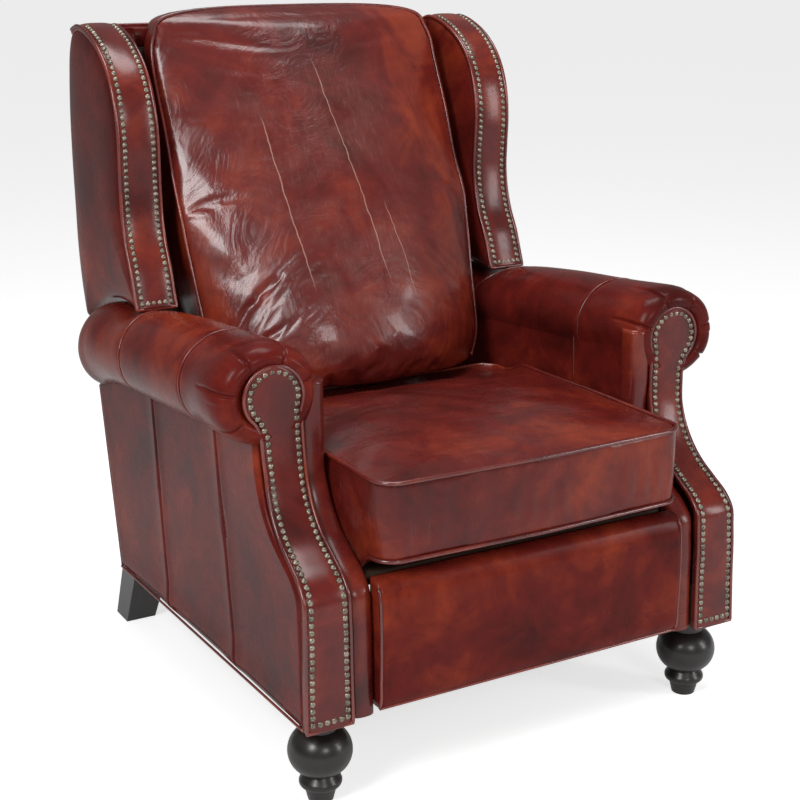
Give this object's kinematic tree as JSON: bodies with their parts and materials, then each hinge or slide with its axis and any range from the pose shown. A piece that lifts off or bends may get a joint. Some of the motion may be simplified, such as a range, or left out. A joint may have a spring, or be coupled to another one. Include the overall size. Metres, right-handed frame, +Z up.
{
  "type": "wingback recliner",
  "caption": "Push-back wingback recliner in nail-trimmed leather with rolled arms, loose-look seat cushion, pillow back, folding leg rest and turned front legs",
  "frame": {"origin": "on the floor, under the middle of the chair's bounding box", "axes": "+Z up, -Y the way the sitter faces, +X to the right seen from the front"},
  "size_m": [0.889, 0.9418, 1.096],
  "materials": {
    "leather_body": "satin",
    "leather_facing": "satin",
    "leather_cushion": "satin",
    "nail_brass": "satin",
    "leg_wood": "satin",
    "frame_wood": "matte",
    "mechanism_steel": "satin",
    "spring_steel": "satin"
  },
  "bodies": {
    "frame": {"arm_facing_L": "leather_facing", "arm_facing_R": "leather_facing", "arm_front_roll_L": "leather_body", "arm_front_roll_R": "leather_body", "arm_nails_L": "nail_brass", "arm_nails_R": "nail_brass", "arm_posts": "frame_wood", "arm_roll_L": "leather_body", "arm_roll_R": "leather_body", "back_hinge_plates": "mechanism_steel", "back_pivot_pins": "mechanism_steel", "frame_link_pins": "mechanism_steel", "front_cross_rail": "frame_wood", "front_leg_L": "leg_wood", "front_leg_R": "leg_wood", "inside_arm_L": "leather_body", "inside_arm_R": "leather_body", "leg_blocks": "frame_wood", "link_plates": "mechanism_steel", "outside_arm_L": "leather_body", "outside_arm_R": "leather_body", "rear_cross_rail": "frame_wood", "rear_leg_L": "leg_wood", "rear_leg_R": "leg_wood", "side_rail_L": "frame_wood", "side_rail_R": "frame_wood"},
    "front_swing": {"front_swing_links": "mechanism_steel"},
    "rear_swing": {"rear_swing_links": "mechanism_steel"},
    "seat": {"legrest_seat_pins": "mechanism_steel", "seat_cushion": "leather_cushion", "seat_deck": "frame_wood", "seat_front_rail": "frame_wood", "seat_link_pins": "mechanism_steel", "seat_plates": "mechanism_steel", "seat_rail_L": "frame_wood", "seat_rail_R": "frame_wood", "seat_rear_rail": "frame_wood", "seat_springs": "spring_steel"},
    "back": {"back_brackets": "mechanism_steel", "back_cushion": "leather_cushion", "back_lower_rail": "frame_wood", "back_post_L": "frame_wood", "back_post_R": "frame_wood", "back_springs": "spring_steel", "back_top_rail": "frame_wood", "outside_back": "leather_body", "wing_L": "leather_body", "wing_R": "leather_body", "wing_facing_L": "leather_facing", "wing_facing_R": "leather_facing", "wing_nails_L": "nail_brass", "wing_nails_R": "nail_brass"},
    "rest_rear": {"legrest_cross_tube": "mechanism_steel", "legrest_knee_pins": "mechanism_steel", "legrest_rear_links": "mechanism_steel"},
    "rest_front": {"legrest_front_links": "mechanism_steel"},
    "rest": {"legrest_board": "frame_wood", "legrest_board_pins": "mechanism_steel", "legrest_brackets": "mechanism_steel", "legrest_pad": "leather_cushion"}
  },
  "joints": [
    {"name": "back_recline", "type": "hinge", "parent": "frame", "child": "back", "pos_m": [0, 0.235, 0.3], "axis": [-1, 0, 0], "range_deg": [0, 32]},
    {"name": "rear_swing", "type": "hinge", "parent": "frame", "child": "rear_swing", "pos_m": [0, 0.045, 0.3], "axis": [-1, 0, 0], "range_deg": [0, 32]},
    {"name": "front_swing", "type": "hinge", "parent": "frame", "child": "front_swing", "pos_m": [0, -0.24, 0.3], "axis": [-1, 0, 0], "range_deg": [0, 32]},
    {"name": "seat_swing", "type": "hinge", "parent": "rear_swing", "child": "seat", "pos_m": [0, 0.07256, 0.20387], "axis": [-1, 0, 0], "range_deg": [-32, 0]},
    {"name": "legrest_open", "type": "hinge", "parent": "rest_front", "child": "rest", "pos_m": [0, -0.393, 0.284], "axis": [-1, 0, 0], "range_deg": [0, 141.22]},
    {"name": "legrest_lift", "type": "hinge", "parent": "seat", "child": "rest_rear", "pos_m": [0, -0.325, 0.284], "axis": [-1, 0, 0], "range_deg": [0, 65.85]},
    {"name": "legrest_fold", "type": "hinge", "parent": "rest_rear", "child": "rest_front", "pos_m": [0, -0.359, 0.14819], "axis": [-1, 0, 0], "range_deg": [-117.07, 0]}
  ],
  "couplings": [
    {"joint": "rear_swing", "follows": "back_recline", "ratio": 1},
    {"joint": "front_swing", "follows": "back_recline", "ratio": 1},
    {"joint": "seat_swing", "follows": "back_recline", "ratio": -1},
    {"joint": "legrest_lift", "follows": "legrest_open", "ratio": 0.46625},
    {"joint": "legrest_fold", "follows": "legrest_open", "ratio": -0.82896}
  ]
}
